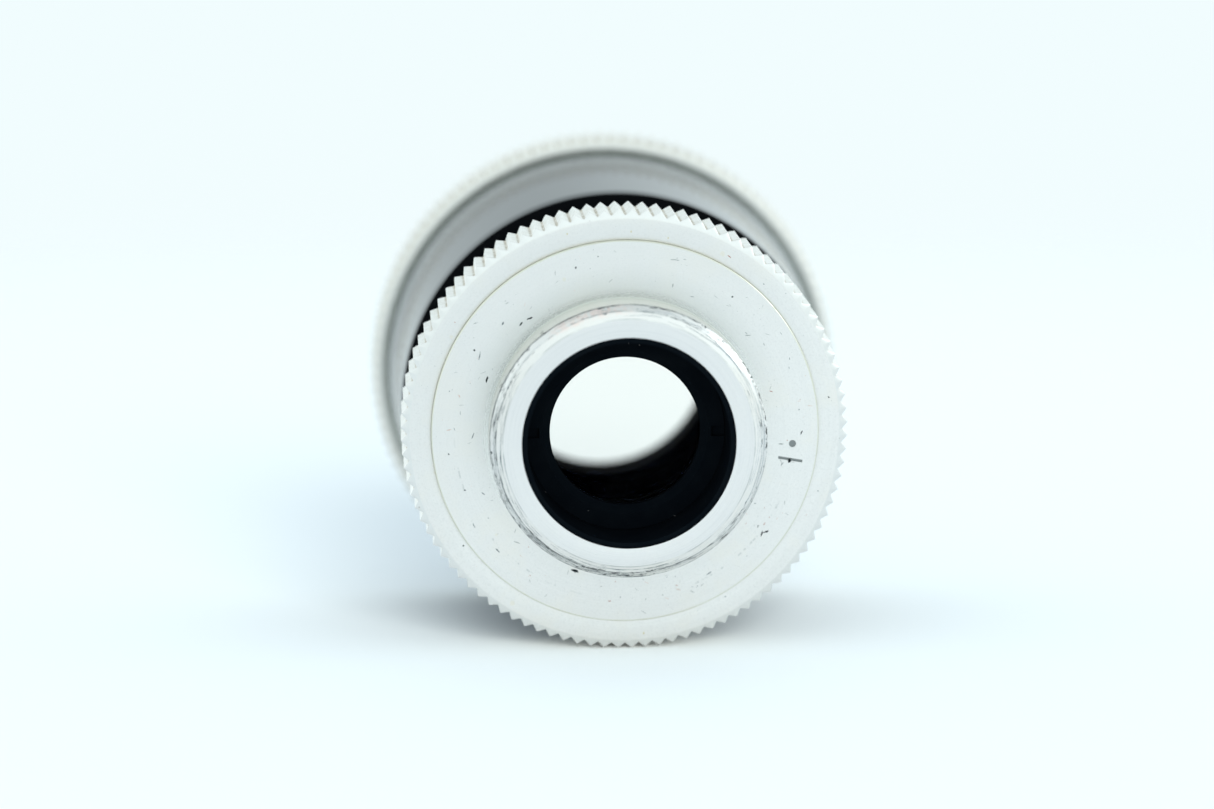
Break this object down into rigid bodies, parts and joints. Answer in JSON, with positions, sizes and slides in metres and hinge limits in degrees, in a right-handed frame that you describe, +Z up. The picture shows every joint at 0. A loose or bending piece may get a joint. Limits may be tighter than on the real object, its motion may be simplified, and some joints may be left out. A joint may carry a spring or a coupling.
{
  "type": "telescope eyepiece",
  "caption": "Short push-fit telescope eyepiece with a knurled lock ring, a black screw-focusing sleeve, a knurled grip ring and two coated lens groups.",
  "frame": {"origin": "where the optical axis crosses the shoulder face that seats against the drawtube", "axes": "+Y along the optical axis from the nose to the eye end, +Z up when the eyepiece lies on its two knurled rings, +X to the right seen from the nose"},
  "size_m": [0.0456, 0.0438, 0.0456],
  "materials": {
    "satin_alloy": "fine turned, satin, straight knurls cut bright",
    "black_enamel": "semi-gloss black enamel on light alloy",
    "matt_black": "matte anti-reflection black on light alloy",
    "coated_glass": "polished, blue anti-reflection coating, black ground edge",
    "bronze": "rolled strip",
    "steel": "bright turned",
    "felt": "greased wool felt"
  },
  "bodies": {
    "nose": {"nosepiece": "satin_alloy", "field_cell": "matt_black", "field_lens_retainer": "matt_black", "field_lens_crown": "coated_glass", "field_lens_flint": "coated_glass"},
    "neck": {"neck_tube": "matt_black", "guide_screw": "steel", "light_baffle": "matt_black", "friction_washer": "bronze"},
    "lock": {"lock_ring": "satin_alloy"},
    "carriage": {"eye_cell": "matt_black", "eye_lens_flint": "coated_glass", "eye_lens_crown": "coated_glass", "eye_lens_retainer": "matt_black"},
    "sleeve": {"focus_sleeve": "black_enamel", "felt_seal": "felt", "thrust_washer": "bronze", "wave_spring": "steel", "grip_ring": "satin_alloy", "grip_ring_screws": "steel", "eye_cap": "black_enamel"}
  },
  "joints": [
    {"name": "barrel_swivel", "type": "hinge", "parent": "nose", "child": "neck", "pos_m": [0, 0.005, 0], "axis": [0, 1, 0], "continuous": true},
    {"name": "lock_turn", "type": "hinge", "parent": "neck", "child": "lock", "pos_m": [0, 0.003, 0], "axis": [0, 1, 0], "range_deg": [-45, 0]},
    {"name": "carriage_slide", "type": "slide", "parent": "neck", "child": "carriage", "axis": [0, 1, 0], "range_m": [-0.005, 0.003]},
    {"name": "focus_turn", "type": "hinge", "parent": "carriage", "child": "sleeve", "pos_m": [0, 0.0315, 0], "axis": [0, 1, 0], "range_deg": [-180, 108]}
  ],
  "couplings": [
    {"joint": "focus_turn", "follows": "carriage_slide", "rad_per_m": 628.3}
  ]
}
